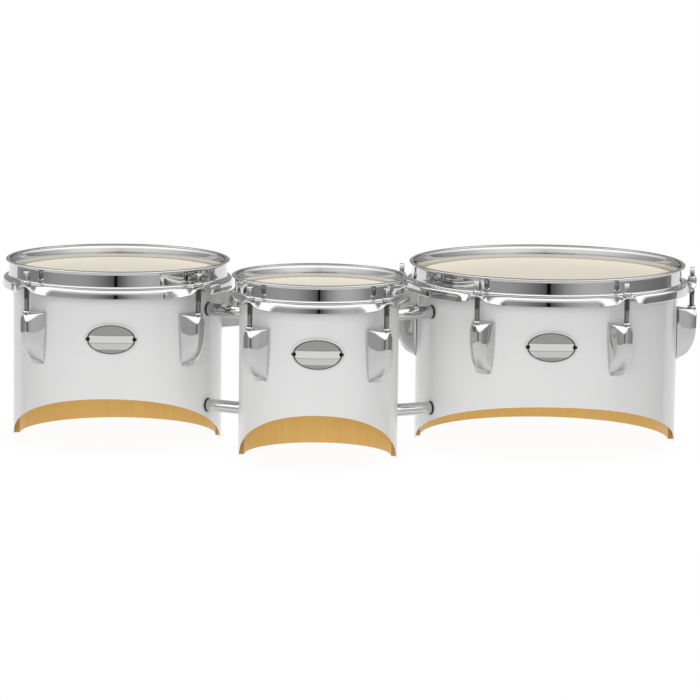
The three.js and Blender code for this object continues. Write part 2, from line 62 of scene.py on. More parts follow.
class PointSheets:
    # gathers grids of points in millimetres, which become one mesh

    def __init__(self):
        self.points, self.faces, self.corners, self.looks = [], [], [], []
        self.count = 0

    def grid(self, points, wrapRows=False, wrapColumns=False, look=0, u=None, v=None, capped=False):
        # each four neighbours of the rows by columns grid make a face; u runs along the columns, v along the rows;
        # capped closes the first row and the last one
        rows, columns = points.shape[:2]
        r, c = cells(rows if wrapRows else rows - 1, columns if wrapColumns else columns - 1)
        cornerRows = np.stack([r, r, r + 1, r + 1], 1)
        cornerColumns = np.stack([c, c + 1, c + 1, c], 1)
        faces = (cornerRows % rows) * columns + cornerColumns % columns + self.count
        u = np.linspace(0, 1, columns + 1) if u is None else np.append(u, u[-1])
        v = np.linspace(0, 1, rows + 1) if v is None else np.append(v, v[-1])
        self.corners.append(np.stack([u[cornerColumns], v[cornerRows]], -1).reshape(-1, 2))
        self.faces += faces.tolist()
        self.looks.append(np.asarray(look)[r] if np.ndim(look) else np.full(len(r), look))
        self.points.append(points.reshape(-1, 3))
        self.count += rows * columns
        if capped:
            for end in (0, -1):
                self.cap(points[end], look[end] if np.ndim(look) else look)

    def cap(self, ring, look=0):
        # one flat face over a closed ring of points
        self.faces.append(list(range(self.count, self.count + len(ring))))
        self.points.append(ring)
        self.corners.append(np.zeros((len(ring), 2)))
        self.looks.append(np.array([look]))
        self.count += len(ring)

    def spun(self, height, radius, place, **kind):
        # axis * height + across * radius * (cos, sin) of the angle, for radii in rows of equal steps round the axis
        origin, axis, across = place
        angle = allRound(radius.shape[1])
        outward = np.cos(angle)[:, None] * across + np.sin(angle)[:, None] * np.cross(axis, across)
        self.grid(origin + height[..., None] * axis + radius[..., None] * outward, wrapColumns=True, **kind)

    def turned(self, profile, steps, place, look=0, closed=False, radiusAt=None):
        # a profile of (height, radius) pairs spun about an axis
        height, radius = np.array(profile, float).T[:, :, None]
        radius = radius * (np.ones(steps) if radiusAt is None else radiusAt(allRound(steps)))
        self.spun(height, radius, place, wrapRows=closed, look=look, capped=not closed)

    def mesh(self, name):
        mesh = bpy.data.meshes.new(name)
        mesh.from_pydata(np.concatenate(self.points) * mm, [], self.faces)
        return mesh


weld = {"reach": 0.002, "sliver": 0.0005, "sharpAngle": 32}  # millimetres and degrees


def makePiece(name, sheets, looks, body, nodes=(), sharpAngle=weld["sharpAngle"]):
    # welds the sheets, turns every face outwards and puts the mesh on its body
    mesh = sheets.mesh(name)
    uv = mesh.uv_layers.new(name="surface")
    uv.data.foreach_set("uv", np.concatenate(sheets.corners).astype(np.float32).ravel())
    for look in looks:
        mesh.materials.append(look)
    mesh.polygons.foreach_set("material_index", np.concatenate(sheets.looks).astype(np.int32))
    work = bmesh.new()
    work.from_mesh(mesh)
    bmesh.ops.remove_doubles(work, verts=work.verts, dist=weld["reach"] * mm)
    bmesh.ops.dissolve_degenerate(work, edges=work.edges, dist=weld["sliver"] * mm)
    bmesh.ops.recalc_face_normals(work, faces=work.faces)
    work.to_mesh(mesh)
    work.free()
    mesh.shade_smooth()
    mesh.set_sharp_from_angle(angle=math.radians(sharpAngle))
    piece = bpy.data.objects.new(name, mesh)
    scene.collection.objects.link(piece)
    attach(piece, body)
    if nodes:
        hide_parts(*nodes)
    return piece


softShares = {"bend": 0.46, "hold": 0.49, "tip": 0.3}  # the most of a straight part that each may take


def softLine(corners, reach, steps, closed=False, hold=0.3):
    # every corner becomes a parabola, (1-t)^2 start + 2t(1-t) corner + t^2 stop, that leaves and meets the straight
    # parts reach millimetres away from the corner, or at most just under halfway along them; one more point, hold
    # millimetres on, keeps the shading of the straight parts flat, as it does at open ends
    if closed:
        before, corner, after = np.roll(corners, 1, -2), corners, np.roll(corners, -1, -2)
    else:
        before, corner, after = corners[..., :-2, :], corners[..., 1:-1, :], corners[..., 2:, :]
    reach = np.broadcast_to(reach, corner.shape[:-1])
    ends, holds = [], []
    for other in (before, after):
        along = other - corner
        length = np.linalg.norm(along, axis=-1)
        ends.append(corner + along * np.minimum(reach / length, softShares["bend"])[..., None])
        held = np.minimum((reach + hold) / length, softShares["hold"])
        holds.append((corner + along * held[..., None])[..., None, :])
    t = np.linspace(0, 1, steps)[:, None]
    start, stop, middle = ends[0][..., None, :], ends[1][..., None, :], corner[..., None, :]
    arcs = (1 - t) ** 2 * start + 2 * t * (1 - t) * middle + t ** 2 * stop
    arcs = np.concatenate([holds[0], arcs, holds[1]], -2)
    arcs = arcs.reshape(*arcs.shape[:-3], -1, corners.shape[-1])
    if closed:
        return arcs
    ends = []
    for tip, other in ((corners[..., :1, :], corners[..., 1:2, :]), (corners[..., -1:, :], corners[..., -2:-1, :])):
        length = np.linalg.norm(other - tip, axis=-1, keepdims=True)
        ends.append([tip, tip + (other - tip) * np.minimum(hold / length, softShares["tip"])])
    return np.concatenate([*ends[0], arcs, *ends[1][::-1]], -2)


def sheetOutline(line, thickness, endSteps=4):
    # both faces of a sheet on a centre line, half the thickness to either side of it, with half-round edges
    along = np.gradient(line, axis=-2)
    along /= np.linalg.norm(along, axis=-1, keepdims=True)
    normal = np.stack([-along[..., 1], along[..., 0]], -1)
    half = thickness / 2
    turn = (np.arange(1, endSteps) * math.pi / endSteps)[:, None]

    def roundEnd(index, way):
        outward, sideways = way * along[..., index, :], way * normal[..., index, :]
        bend = np.cos(turn) * sideways[..., None, :] + np.sin(turn) * outward[..., None, :]
        return line[..., index, :][..., None, :] + half * bend

    return np.concatenate([line + half * normal, roundEnd(-1, 1), (line - half * normal)[..., ::-1, :],
                           roundEnd(0, -1)], -2)


# node trees

class Wire:
    # one output socket of a node tree; arithmetic on it adds Math nodes

    def __init__(self, tree, socket):
        self.tree, self.socket = tree, socket

    def maths(self, operation, *values):
        return self.tree.add("ShaderNodeMath", {"operation": operation}, dict(enumerate(values)))

    def __add__(self, other):
        return self.maths("ADD", self, other)

    def __sub__(self, other):
        return self.maths("SUBTRACT", self, other)

    def __rsub__(self, other):
        return self.maths("SUBTRACT", other, self)

    def __mul__(self, other):
        return self.maths("MULTIPLY", self, other)

    def __truediv__(self, other):
        return self.maths("DIVIDE", self, other)

    def __pow__(self, other):
        return self.maths("POWER", self, other)

    __radd__ = __add__
    __rmul__ = __mul__

    def size(self):
        return self.maths("ABSOLUTE", self)

    def fraction(self):
        return self.maths("FRACT", self)

    def larger(self, other):
        return self.maths("MAXIMUM", self, other)

    def step(self, start, stop, low=0.0, high=1.0):
        # low up to start, high from stop, smooth between them
        inputs = {"Value": self, "From Min": start, "From Max": stop, "To Min": low, "To Max": high}
        return self.tree.add("ShaderNodeMapRange", {"interpolation_type": "SMOOTHSTEP"}, inputs)


class ShadeTree:
    def __init__(self, nodeTree):
        self.nodeTree = nodeTree
        nodeTree.nodes.clear()

    def add(self, kind, settings=None, inputs=None, output=0):
        # one node: its settings first, a ramp's stops among them, then the values or links of its sockets
        node = self.nodeTree.nodes.new(kind)
        for key, value in (settings or {}).items():
            if key == "stops":
                stops = node.color_ramp.elements
                stops.remove(stops[1])
                for position, colour in value[1:]:
                    stops.new(position).color = (*colour, 1.0)
                stops[0].position, stops[0].color = value[0][0], (*value[0][1], 1.0)
            else:
                setattr(node, key, value)
        for key, value in (inputs or {}).items():
            if isinstance(value, Wire):
                self.nodeTree.links.new(value.socket, node.inputs[key])
            else:
                node.inputs[key].default_value = value
        return Wire(self, node.outputs[output]) if len(node.outputs) else None

    def mix(self, factor, first, second):
        # two colours mixed; a tuple is a plain colour
        inputs = {0: factor, 6: first, 7: second}
        inputs = {k: (*v, 1.0) if isinstance(v, tuple) else v for k, v in inputs.items()}
        return self.add("ShaderNodeMix", {"data_type": "RGBA"}, inputs, output=2)

    def place(self, scale=(1, 1, 1), turn=(0, 0, 0)):
        # metres of the shared frame, turned and stretched
        coordinates = self.add("ShaderNodeTexCoord", output="Object")
        return self.add("ShaderNodeMapping", None, {"Vector": coordinates, "Scale": scale, "Rotation": turn})

    def noise(self, place, scale, detail=2.0, roughness=0.5):
        inputs = {"Vector": place, "Scale": scale, "Detail": detail, "Roughness": roughness}
        return self.add("ShaderNodeTexNoise", None, inputs)

    def grain(self, scale, detail, roughness=0.5):
        # noise that is drawn out: so many grains to the metre along x, y and z
        return self.noise(self.place(scale), 1, detail, roughness)

    def parts(self, vector):
        # x, y and z of a vector
        split = self.add("ShaderNodeSeparateXYZ", None, {0: vector})
        return [Wire(self, output) for output in split.socket.node.outputs]

    def emission(self, strength):
        return self.add("ShaderNodeEmission", None, {"Strength": strength})

    def diffuse(self, tone, share):
        return self.add("ShaderNodeBsdfDiffuse", None, {"Color": (*(c * share for c in tone), 1)})

    def bump(self, height, strength, distance):
        inputs = {"Height": height, "Strength": strength, "Distance": distance * mm}
        return self.add("ShaderNodeBump", None, inputs)


def makeLook(name, build, settings):
    # a material with one Principled shader; build returns what varies over the surface
    look = bpy.data.materials.new(name)
    look.use_nodes = True
    tree = ShadeTree(look.node_tree)
    inputs = dict(settings.get("shader", {}))
    inputs.update(build(tree, settings))
    shader = tree.add("ShaderNodeBsdfPrincipled", None, inputs)
    tree.add("ShaderNodeOutputMaterial", None, {"Surface": shader})
    return look


# finishes

wrapFinish = {"colour": (0.845, 0.850, 0.842), "shade": (0.800, 0.806, 0.800), "roughness": 0.13,
              "shader": {"Coat Roughness": 0.05, "IOR": 1.45}}


def buildWrap(tree, settings):
    # glossy white covering: faint clouds of tone, an orange-peel ripple and a few fine rubbed marks
    place = tree.place()
    clouds = tree.noise(place, 9, 3, 0.55)
    peel = tree.noise(place, 420, 2, 0.5)
    rubs = tree.noise(tree.place(scale=(1, 1, 9)), 60, 5, 0.7).step(0.60, 0.78)
    return {"Base Color": tree.mix(clouds.step(0.35, 0.75) * 0.35, settings["colour"], settings["shade"]),
            "Roughness": settings["roughness"] + rubs * 0.10 + clouds * 0.03,
            "Normal": tree.bump(peel + clouds * 3, 0.06, 0.05)}


plyFinish = {"pale": (0.945, 0.660, 0.228), "deep": (0.870, 0.580, 0.186), "pore": (0.520, 0.290, 0.090),
             "shader": {"IOR": 1.45}}


def buildPly(tree, settings):
    # clear-lacquered inner ply: upright grain, soft figure and short dark pores
    grain = tree.grain((260, 260, 9), 6, 0.62)
    figure = tree.grain((22, 22, 3), 3, 0.5)
    pores = tree.grain((900, 900, 60), 2, 0.5).step(0.66, 0.74)
    tone = grain.step(0.32, 0.70) * 0.65 + figure.step(0.3, 0.7) * 0.35
    wood = tree.mix(tone, settings["pale"], settings["deep"])
    return {"Base Color": tree.mix(pores * 0.35, wood, settings["pore"]),
            "Roughness": 0.34 + grain * 0.16 + pores * 0.2,
            "Normal": tree.bump(grain * 0.6 - pores, 0.25, 0.12)}


edgeFinish = {"long": (0.800, 0.520, 0.210), "cross": (0.560, 0.340, 0.120), "glue": (0.24, 0.14, 0.06),
              "layers": 6, "shader": {"IOR": 1.45}}


def buildPlyEdge(tree, settings):
    # cut edge of the wall: the plies as stripes across v, alternately long grain and end grain, with thin glue lines
    across = tree.parts(tree.add("ShaderNodeTexCoord", output="UV"))[1]
    wobble = tree.grain((60, 60, 60), 2)
    layer = across * settings["layers"] + wobble * 0.12
    ply = ((layer * 0.5).fraction() - 0.5).size().step(0.21, 0.29)
    glue = (layer.fraction() - 0.5).size().step(0.44, 0.49)
    fibre = tree.grain((700, 700, 700), 3)
    wood = tree.mix(ply * 0.8 + fibre * 0.2, settings["long"], settings["cross"])
    return {"Base Color": tree.mix(glue * 0.5, wood, settings["glue"]),
            "Roughness": 0.5 + fibre * 0.25, "Normal": tree.bump(fibre - glue, 0.3, 0.1)}


filmFinish = {"colour": (0.830, 0.760, 0.620), "dusk": (0.770, 0.695, 0.545),
              "shader": {"IOR": 1.5, "Specular IOR Level": 0.45}}


def buildFilm(tree, settings):
    # coated film: a fine gritty coat over a cloudy cream sheet
    place = tree.place()
    clouds = tree.noise(place, 7, 3, 0.5)
    grit = tree.noise(place, 1500, 2, 0.6)
    blotch = tree.noise(place, 160, 3, 0.6)
    return {"Base Color": tree.mix(clouds.step(0.35, 0.75) * 0.4 + blotch * 0.15, settings["colour"], settings["dusk"]),
            "Roughness": 0.30 + grit * 0.12, "Normal": tree.bump(grit + blotch * 0.5, 0.20, 0.03)}


chromeFinish = {"colour": (0.620, 0.622, 0.618), "haze": (0.560, 0.562, 0.556), "roughness": 0.02,
                "shader": {"Metallic": 1.0}}


def buildChrome(tree, settings):
    # bright chrome plate: hardly any ripple, a light handling haze and hairline rubs
    place = tree.place()
    haze = tree.noise(place, 28, 4, 0.6).step(0.50, 0.80)
    hairs = tree.noise(tree.place(scale=(1, 1, 30), turn=(0.3, 0.2, 0)), 140, 4, 0.7).step(0.64, 0.78)
    ripple = tree.noise(place, 55, 2, 0.4)
    return {"Base Color": tree.mix(haze * 0.35 + hairs * 0.15, settings["colour"], settings["haze"]),
            "Roughness": settings["roughness"] + haze * 0.03 + hairs * 0.07,
            "Normal": tree.bump(ripple, 0.04, 0.02)}


rodFinish = {"colour": (0.155, 0.155, 0.152), "haze": (0.105, 0.105, 0.103), "roughness": 0.08,
             "shader": {"Metallic": 1.0}}

# drawn aluminium with a grey bloom, zinc plate with straw patches, dusty moulded rubber and brushed satin bar
alloyFinish = {"colour": (0.62, 0.63, 0.64), "worn": (0.50, 0.51, 0.53), "patches": (40, 4, 0.6),
               "wornFrom": (0.4, 0.7), "wornShare": 0.3, "fine": ((25, 25, 2400), 3, 0.6),
               "roughness": (0.26, 0.14, 0.06), "bump": (0.2, 0.03), "shader": {"Metallic": 1.0}}
zincFinish = {"colour": (0.60, 0.61, 0.60), "worn": (0.50, 0.49, 0.43), "patches": (150, 4, 0.6),
              "wornFrom": (0.45, 0.65), "wornShare": 0.7, "fine": ((1600, 1600, 1600), 2, 0.5),
              "roughness": (0.30, 0.06, 0.12), "bump": (0.15, 0.03), "shader": {"Metallic": 1.0}}
rubberFinish = {"colour": (0.030, 0.030, 0.031), "worn": (0.085, 0.084, 0.080), "patches": (120, 5, 0.65),
                "wornFrom": (0.45, 0.75), "wornShare": 0.5, "fine": ((1300, 1300, 1300), 2, 0.5),
                "roughness": (0.62, 0, 0.2), "bump": (0.4, 0.06), "shader": {"IOR": 1.5}}
barFinish = {"colour": (0.640, 0.645, 0.625), "worn": (0.520, 0.525, 0.510), "patches": (26, 4, 0.6),
             "wornFrom": (0.4, 0.75), "wornShare": 0.6, "fine": ((18, 18, 1500), 4, 0.65), "fineShare": 0.2,
             "roughness": (0.30, 0.14, 0.08), "bump": (0.22, 0.04), "shader": {"Metallic": 0.85}}


def buildWorn(tree, settings):
    # one colour that is worn to another in patches, with a fine texture that roughens and dents it; roughness is a
    # plain one, then how much the texture and the patches add
    fine = tree.grain(*settings["fine"])
    patches = tree.noise(tree.place(), *settings["patches"])
    worn = patches.step(*settings["wornFrom"]) * settings["wornShare"]
    if "fineShare" in settings:
        worn = worn + fine * settings["fineShare"]
    plain, byFine, byPatch = settings["roughness"]
    return {"Base Color": tree.mix(worn, settings["colour"], settings["worn"]),
            "Roughness": plain + fine * byFine + patches * byPatch, "Normal": tree.bump(fine, *settings["bump"])}


badgeFinish = {"field": (0.30, 0.30, 0.295), "hatch": (0.52, 0.52, 0.51), "band": (0.80, 0.80, 0.79),
               "panel": (0.66, 0.66, 0.65), "rim": (0.80, 0.80, 0.79), "line": (0.030, 0.030, 0.030),
               "brushed": (0.25, 0.25, 0.25), "shader": {"Metallic": 0.25}}


def buildBadge(tree, settings):
    # u and v are millimetres from the badge's middle; share is 1 on its oval edge
    u, v, _ = tree.parts(tree.add("ShaderNodeTexCoord", output="UV"))
    share = ((u / badge["width"] * 2) ** 2 + (v / badge["height"] * 2) ** 2) ** 0.5
    rim = share.step(0.905, 0.925)
    groove = (share - 0.885).size().step(0.020, 0.042, 1, 0)
    half, low, foot = badge["band"], badge["panelTop"], badge["panelFoot"]
    band = v.size().step(half - 0.1, half + 0.1, 1, 0)
    bandEdge = (v.size() - (half + 0.2)).size().step(0.12, 0.28, 1, 0)
    hatch = ((v * 1.45).fraction() - 0.5).size().step(0.22, 0.30)  # fine level lines on the field
    brush = tree.grain((30, 30, 2600), 3, 0.6)
    panel = v.step(-low - 0.15, -low + 0.15, 1, 0) * v.step(-foot - 0.15, -foot + 0.15)
    field = tree.mix(hatch * 0.45, settings["field"], settings["hatch"])
    field = tree.mix(panel, field, settings["panel"])
    face = tree.mix(band, field, settings["band"])
    face = tree.mix(bandEdge * 0.7, face, settings["line"])
    face = tree.mix(rim, face, settings["rim"])
    lined = tree.mix(groove * 0.92, face, settings["line"])
    return {"Base Color": tree.mix(brush * 0.16, lined, settings["brushed"]),
            "Roughness": 0.34 + brush * 0.16 - rim * 0.10,
            "Normal": tree.bump(brush * 0.3 - groove - hatch * (1 - band) * (1 - rim) * 0.5, 0.35, 0.08)}


studFinish = {"colour": (0.010, 0.010, 0.011), "haze": (0.02, 0.02, 0.02), "roughness": 0.3,
              "shader": {"Metallic": 0.6}}

badge = {"width": 49.5, "height": 30.0, "depth": 65.0, "thickness": 0.8, "rimWidth": 2.0, "rimRise": 0.5,
         "band": 3.4, "panelTop": 3.45, "panelFoot": 9.45, "stud": 2.4, "studReach": 22.2, "steps": 96,
         "sharpAngle": 45}

wrap = makeLook("whiteCovering", buildWrap, wrapFinish)
ply = makeLook("innerPly", buildPly, plyFinish)
plyEdge = makeLook("plyEdge", buildPlyEdge, edgeFinish)
film = makeLook("coatedFilm", buildFilm, filmFinish)
alloy = makeLook("fleshHoopAlloy", buildWorn, alloyFinish)
chrome = makeLook("chromePlate", buildChrome, chromeFinish)
rodSteel = makeLook("rodSteel", buildChrome, rodFinish)
zinc = makeLook("zincPlate", buildWorn, zincFinish)
rubber = makeLook("gasketRubber", buildWorn, rubberFinish)
barSteel = makeLook("barSteel", buildWorn, barFinish)
badgeMetal = makeLook("badgeMetal", buildBadge, badgeFinish)
studMetal = makeLook("studMetal", buildChrome, studFinish)
print("finishes ready:", len(bpy.data.materials))


# layout: angles round a drum are measured from its front, depths are below the rim

rim = 171.8
gap = 0.3  # between pieces that touch
upward = np.array([0.0, 0.0, 1.0])
rodCounts = {"left": 4, "middle": 4, "right": 6}


def readDrum(name, rods):
    # radius and centre in millimetres, from the box of the shell's node
    low, high = (np.array(corner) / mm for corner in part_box(name + "_shell"))
    return {"name": name, "rods": rods, "radius": (high[0] - low[0]) / 2,
            "centre": (low[:2] + high[:2]) / 2}


drums = {name: readDrum(name, rods) for name, rods in rodCounts.items()}


def around(drum, radius, angle, height):
    # centre + radius * (sin, -cos) of the angle from the front
    x = drum["centre"][0] + radius * np.sin(angle)
    y = drum["centre"][1] - radius * np.cos(angle)
    return np.stack(np.broadcast_arrays(x, y, height), -1).astype(float)


def rodAngle(drum, number):
    # equal steps round the drum, the first half a step on from the rear
    return (number - 0.5) * 2 * math.pi / drum["rods"] - math.pi


def outwardAxis(drum, angle, height):
    # an axis from the drum's own axis out through the wall at that angle and height
    origin = np.array([*drum["centre"], height])
    return origin, np.array([math.sin(angle), -math.cos(angle), 0.0]), np.array([math.cos(angle), math.sin(angle), 0.0])


def rodAxis(drum, number, turn=0.0):
    # upright through the rod's place, with its side turned that far from x
    x, y, _ = around(drum, drum["radius"] + hoop["rodOffset"], rodAngle(drum, number), 0)
    return np.array([x, y, 0.0]), upward, np.array([math.cos(turn), math.sin(turn), 0.0])


def seatInside(drum, reach):
    # how far from the drum's axis a flat face of that radius meets the inside of the wall
    return math.sqrt((drum["radius"] - shell["wall"]) ** 2 - reach ** 2) - gap


def bearing(a, b):
    # the angle round drum a at which drum b lies
    dx, dy = b["centre"] - a["centre"]
    return math.atan2(dx, -dy)


# shells

shell = {"wall": 5.5, "topDepth": 13.2, "edge": 1.2, "bevel": 3.0, "lipOutside": 4.0, "lipInside": 8.0, "lipBend": 0.7,
         "archRise": 50.0, "archTip": 1.0, "fullness": 0.6, "curveSteps": 200, "archSteps": 72, "tipSteps": 8,
         "cutInsets": (4, 3, 2), "rearSteps": 110, "wallRows": 9, "sharpAngle": 40}


def archCurve(radius):
    # the arch as a cubic curve from the tip at one side up to its crown, then mirrored: (x, height) pairs
    half, rise, full = radius - shell["archTip"], shell["archRise"], shell["fullness"]
    t = np.linspace(0, 1, shell["curveSteps"])
    x = -half * ((1 - t) ** 3 + 3 * (1 - t) ** 2 * t + 3 * full * (1 - t) * t ** 2)
    z = rise * (3 * full * (1 - t) ** 2 * t + 3 * (1 - t) * t ** 2 + t ** 3)
    return x, z


def archHeight(radius, x):
    # the arch's edge above the floor at x to either side of the drum's middle, level with the floor past its tips
    curveX, curveZ = archCurve(radius)
    return np.interp(-np.abs(x), curveX, curveZ, left=0.0)


def makeShell(drum):
    # upright columns of points round the drum, up the outside, over the bearing edge, down the inside and back
    # across the cut edge: an arch in the front half and level in the rear half
    radius, inner, tip = drum["radius"], drum["radius"] - shell["wall"], drum["radius"] - shell["archTip"]
    top, edge = rim - shell["topDepth"], shell["edge"]
    curveX = archCurve(radius)[0]
    share = np.interp(np.linspace(0, 1, shell["archSteps"]), np.linspace(0, 1, len(curveX)), curveX) / radius
    side = np.concatenate([np.linspace(-quarter, math.asin(share[0]), shell["tipSteps"])[:-1], np.arcsin(share)])
    front = np.concatenate([side, -side[-2::-1]])
    rear = np.linspace(quarter, 3 * quarter, shell["rearSteps"])
    lip = softLine(np.array([[radius, top - shell["lipOutside"]], [radius, top - edge], [radius - edge, top],
                             [radius - 2 * edge, top], [inner, top - shell["bevel"]],
                             [inner, top - shell["lipInside"]]]), shell["lipBend"], 4)
    cutRadii = np.array([inner, *(radius - inset for inset in shell["cutInsets"]), tip])
    rise = np.linspace(0, 1, shell["wallRows"])

    def column(angle, isFront):
        low = archHeight(radius, radius * np.sin(angle)) if isFront else 0 * angle
        lowInner = archHeight(radius, inner * (np.sin(angle) if isFront else np.ones_like(angle)))
        outer = [(radius, low + (lip[0, 1] - low) * r) for r in rise[:-1]]
        inside = [(inner, lowInner + (lip[-1, 1] - lowInner) * r) for r in rise[-2::-1]]
        rows = outer + [tuple(p) for p in lip] + inside
        if isFront:
            rows += [(r, archHeight(radius, r * np.sin(angle))) for r in cutRadii[1:]]
        else:
            rows += [(inner, 0.0), (tip, 0.0)]
        return np.stack([around(drum, r, angle, z + 0 * angle) for r, z in rows])

    sheets = PointSheets()
    wallRows = len(rise) - 1
    for angle, isFront in ((front, True), (rear, False)):
        points = column(angle, isFront)
        count = len(points)
        look = np.full(count, 2)
        look[:wallRows + 2] = 0
        look[wallRows + len(lip) - 3:2 * wallRows + len(lip) - 1 + (0 if isFront else 1)] = 1
        depth = np.concatenate([np.zeros(wallRows), (radius - lip[:, 0]) / shell["wall"], np.ones(wallRows),
                                (radius - cutRadii[1:]) / shell["wall"] if isFront else [1.0, 0.18]])
        sheets.grid(points, wrapRows=True, look=look, u=radius * angle * mm, v=np.append(depth, 0.0)[:count])
    for turn in (-quarter, quarter):  # the flat end of the arch's cut, on the drum's own diameter
        heights = archHeight(radius, cutRadii)
        ring = [around(drum, r, turn, z) for r, z in zip(cutRadii, heights)]
        sheets.cap(np.array(ring + [around(drum, inner, turn, 0.0)]), 2)
    makePiece(drum["name"] + "ShellTube", sheets, [wrap, ply, plyEdge], "drum_set",
              [drum["name"] + "_shell"], shell["sharpAngle"])


# drumheads

head = {"filmDepth": 12.5, "film": 0.4, "collar": 0.4, "collarDrop": 1.1, "collarStart": 6.0, "hoopInner": 1.4,
        "hoopOuter": 6.4, "hoopDepth": 23.5, "hoopTop": 18.9, "hoopTopReach": 1.7,
        "bends": [0.9, 1.0, 0.7, 0.5, 0.5, 0.6, 0.5], "alloyReach": 1.0, "alloyDrop": 0.8,
        "steps": 256, "rings": 26, "firstRing": 4, "sharpAngle": 40}


def makeDrumhead(drum):
    # film and flesh hoop: one closed outline spun about the drum's axis, the film's rings spread evenly
    radius, top, under = drum["radius"], rim - head["filmDepth"], rim - head["filmDepth"] - head["film"]
    edge = radius - shell["edge"]
    start, hoopTop, hoopFoot = edge - head["collarStart"], rim - head["hoopTop"], rim - head["hoopDepth"]
    outline = softLine(np.array([
        [start, top], [edge, top], [radius + head["hoopTopReach"], hoopTop], [radius + head["hoopOuter"], hoopTop],
        [radius + head["hoopOuter"], hoopFoot], [radius + head["hoopInner"], hoopFoot],
        [radius + head["collar"], under - head["collarDrop"]], [edge, under], [start, under]]), head["bends"], 5)
    spread = np.linspace(head["firstRing"], start, head["rings"])[:-1]
    rows = np.concatenate([np.stack([spread, np.full(len(spread), top)], 1), outline,
                           np.stack([spread[::-1], np.full(len(spread), under)], 1)])
    points = around(drum, rows[:, :1], allRound(head["steps"])[None, :], rows[:, 1:])
    isAlloy = (rows[:, 0] > radius + head["alloyReach"]) & (rows[:, 1] < top - head["alloyDrop"])
    sheets = PointSheets()
    sheets.grid(points, wrapColumns=True, look=isAlloy.astype(int), capped=True)
    makePiece(drum["name"] + "BatterHead", sheets, [film, alloy], "drum_set",
              [drum["name"] + "_drumhead"], head["sharpAngle"])


# triple flanged hoops

# the section's line runs from the rim down the wall to the ledge, as (reach beyond the shell, height over the rim)
hoop = {"sheet": 1.8, "line": [(6.6, -1.6), (4.9, -0.9), (3.5, -2.6), (3.5, -9.0), (3.5, -17.7), (9.5, -17.7)],
        "bends": [1.3, 1.7, 2.0, 3.4, 2.6, 2.6], "bendSteps": 7, "draft": 0.17, "draftBlend": 0.6,
        "skirt": 8.4, "bow": 0.20, "rodOffset": 14.2, "earHalf": 3.0, "earSide": 9.0,
        "flare": 0.45, "flareStart": 9.0, "flareFold": 21.0,
        "stepsPerRod": {"left": 124, "middle": 96, "right": 102}, "sharpAngle": 50}


def makeHoop(drum):
    # the pressed sheet's section at each station round the drum; the skirt turns from upright between the ears to
    # slanted on the flares and level at an ear, each by (1 + cos) / 2 of the way along its fold; between the ears its
    # upper half leans in by the bow
    count = hoop["stepsPerRod"][drum["name"]] * drum["rods"]
    angle = (np.arange(count) + 0.5) * 2 * math.pi / count - math.pi
    step = 2 * math.pi / drum["rods"]
    fromRod = np.abs((angle + math.pi) % step - step / 2) * (drum["radius"] + hoop["rodOffset"])

    def fall(start, length):
        return (1 + np.cos(np.clip((fromRod - start) / length, 0, 1) * math.pi)) / 2

    swing = fall(hoop["earHalf"], hoop["earSide"]) * (1 - hoop["flare"])
    swing += fall(hoop["flareStart"], hoop["flareFold"]) * hoop["flare"]
    turn = (1 - swing) * quarter
    bow, half = hoop["bow"] * (1 - swing), hoop["skirt"] / 2
    root = hoop["line"][-1] - half * np.stack([np.sin(bow), 0 * bow], -1)
    middle = root + half * np.stack([np.cos(turn - bow), -np.sin(turn - bow)], -1)
    end = middle + half * np.stack([np.cos(turn), -np.sin(turn)], -1)
    wall = np.broadcast_to(hoop["line"][:-1], (count, len(hoop["line"]) - 1, 2))
    line = np.concatenate([wall, root[:, None], middle[:, None], end[:, None]], 1)
    section = sheetOutline(softLine(line, hoop["bends"], hoop["bendSteps"]), hoop["sheet"])
    # the wall's inner face leans out towards the rim by draft * (h + sqrt(h^2 + 1)) / 2, h from the wall's middle bend
    bendReach, bendHeight = hoop["line"][3]
    above = section[..., 1] - bendHeight
    inside = np.clip((bendReach - section[..., 0]) / hoop["draftBlend"], 0, 1)
    section[..., 0] += hoop["draft"] * (above + np.hypot(above, 1)) / 2 * inside
    points = around(drum, drum["radius"] + section[..., 0], angle[:, None], rim + section[..., 1])
    sheets = PointSheets()
    sheets.grid(np.swapaxes(points, 0, 1), wrapRows=True, wrapColumns=True)
    makePiece(drum["name"] + "FlangedHoop", sheets, [chrome], drum["name"] + "_hoop_body",
              [drum["name"] + "_hoop"], hoop["sharpAngle"])


# tension rods

rod = {"shank": 2.5, "end": 60.0, "threadDepth": 0.33, "threadPitch": 25.4 / 24, "threadTop": 29.5, "threadRows": 6,
       "fadeTop": 1.5, "fadeEnd": 1.0, "point": 0.7, "pointLength": 1.2, "steps": 16,
       "seat": 16.5, "washer": 4.6, "washerTop": 15.3, "washerEdge": 0.25, "collar": 4.1, "collarTop": 12.7,
       "headHalf": 2.4, "headDepth": 4.0, "sharpAngle": 35}


def squareAt(angles):
    # a square with rounded corners: 1 / (|cos|^8 + |sin|^8)^(1/8)
    return 1 / (np.abs(np.cos(angles)) ** 8 + np.abs(np.sin(angles)) ** 8) ** 0.125


